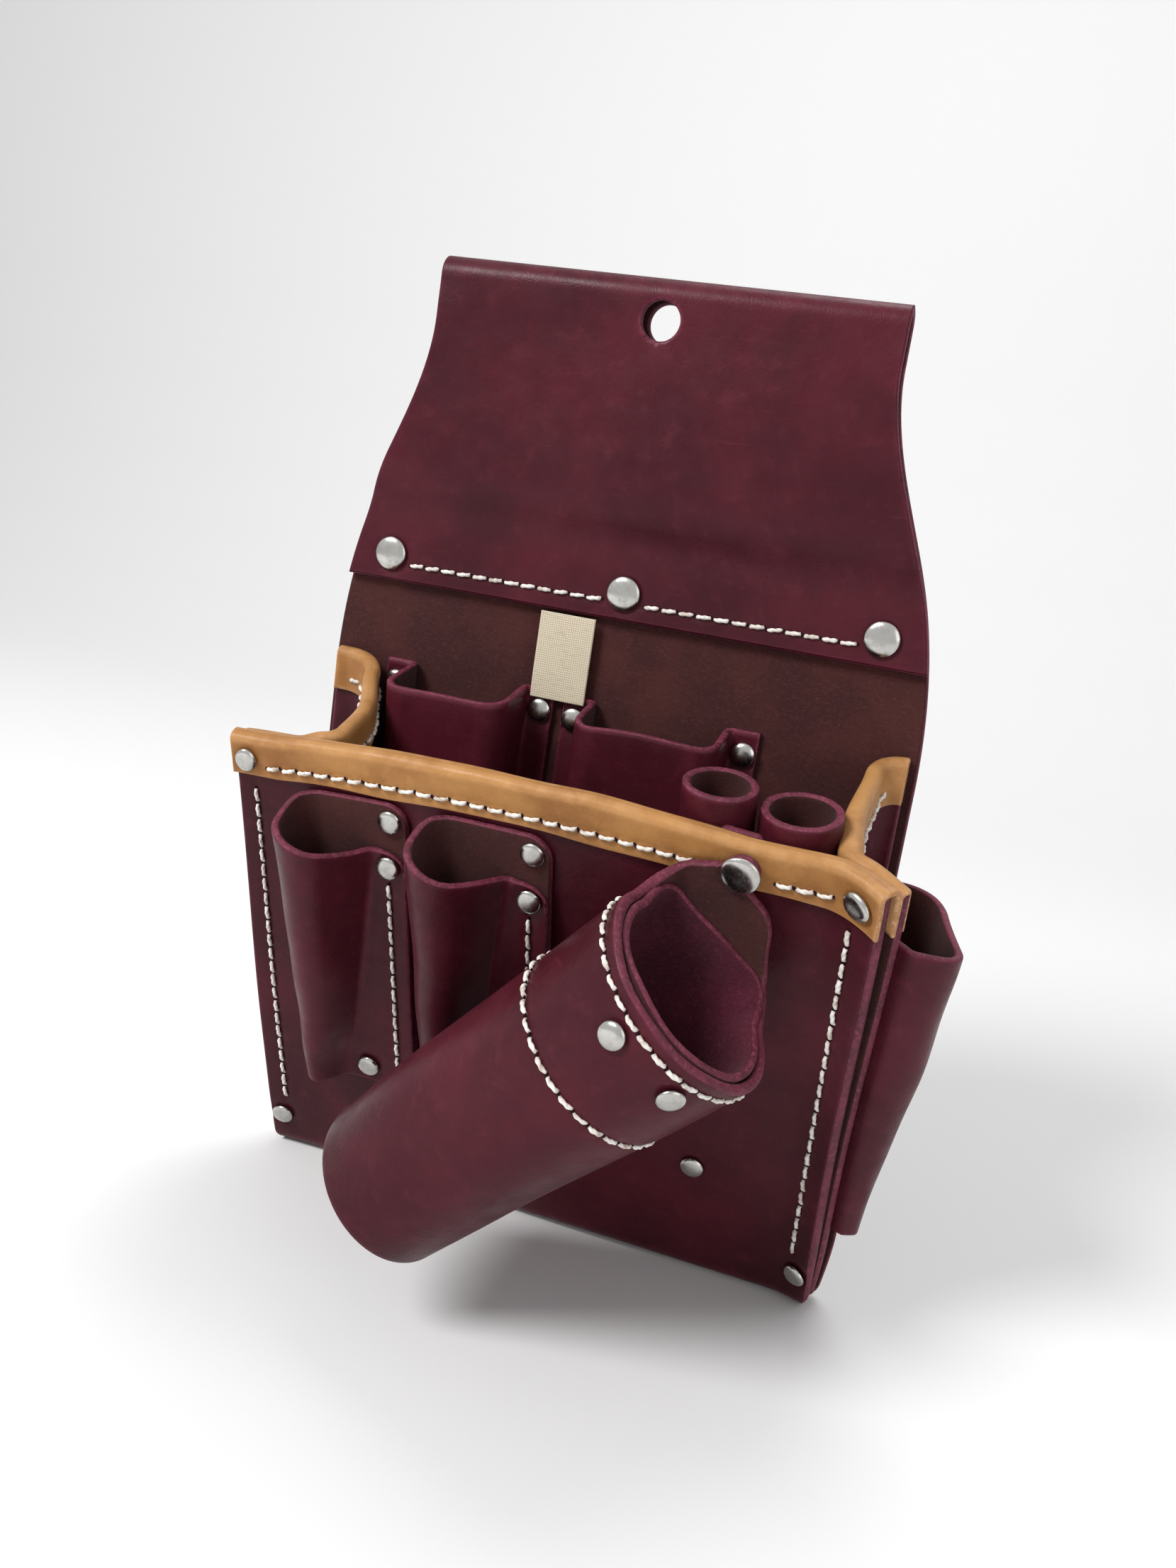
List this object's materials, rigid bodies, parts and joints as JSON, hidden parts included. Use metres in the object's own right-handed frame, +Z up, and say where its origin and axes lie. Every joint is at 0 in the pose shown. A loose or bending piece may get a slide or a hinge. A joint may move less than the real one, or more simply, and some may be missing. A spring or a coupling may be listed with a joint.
{
  "type": "electrician tool pouch",
  "caption": "Hanging leather tool pouch with belt tunnel, gusseted bag, inner pockets, sheaths, side holsters and a swinging hammer holster.",
  "frame": {"origin": "centre of the hanging hole, on the back face of the back panel", "axes": "+X to the right seen from the front, -Y to the front, +Z up"},
  "size_m": [0.24, 0.1216, 0.32],
  "materials": {
    "burgundy_leather": "smooth waxed burgundy leather",
    "tan_leather": "natural vegetable-tanned leather",
    "nickel": "nickel-plated steel rivet caps",
    "thread": "waxed polyester thread",
    "label_cloth": "woven label cloth"
  },
  "bodies": {
    "pouch": {"body_panel": "burgundy_leather", "trim_front": "tan_leather", "flap_stitches": "thread", "trim_front_stitches": "thread", "gusset_left": "burgundy_leather", "gusset_right": "burgundy_leather", "trim_left": "tan_leather", "trim_right": "tan_leather", "pliers_holster_left": "burgundy_leather", "pliers_holster_right": "burgundy_leather", "side_seam_stitches_left": "thread", "side_seam_stitches_right": "thread", "level_pocket": "burgundy_leather", "wrench_pocket": "burgundy_leather", "chisel_tube": "burgundy_leather", "knife_tube": "burgundy_leather", "pencil_sheath": "burgundy_leather", "driver_sheath": "burgundy_leather", "pencil_sheath_stitches": "thread", "driver_sheath_stitches": "thread", "flap_rivets": "nickel", "holster_pivot_rivet": "nickel", "trim_rivets": "nickel", "corner_rivets": "nickel", "front_low_rivet": "nickel", "inner_pocket_rivets": "nickel", "pencil_sheath_rivets": "nickel", "driver_sheath_rivets": "nickel"},
    "hammer_holster": {"hammer_holster": "burgundy_leather", "holster_lining": "burgundy_leather", "holster_rivets": "nickel", "holster_lip_stitches": "thread", "holster_collar_stitches": "thread"},
    "label": {"label_tag": "label_cloth"}
  },
  "joints": [
    {"name": "holster_swing", "type": "hinge", "parent": "pouch", "child": "hammer_holster", "pos_m": [0.064, -0.0658, -0.14673], "axis": [0, -0.9455, -0.3256], "range_deg": [-5, 49]},
    {"name": "label_flip", "type": "hinge", "parent": "pouch", "child": "label", "pos_m": [-0.0175, -0.0066, -0.0939], "axis": [-1, 0, 0], "range_deg": [0, 80]}
  ]
}
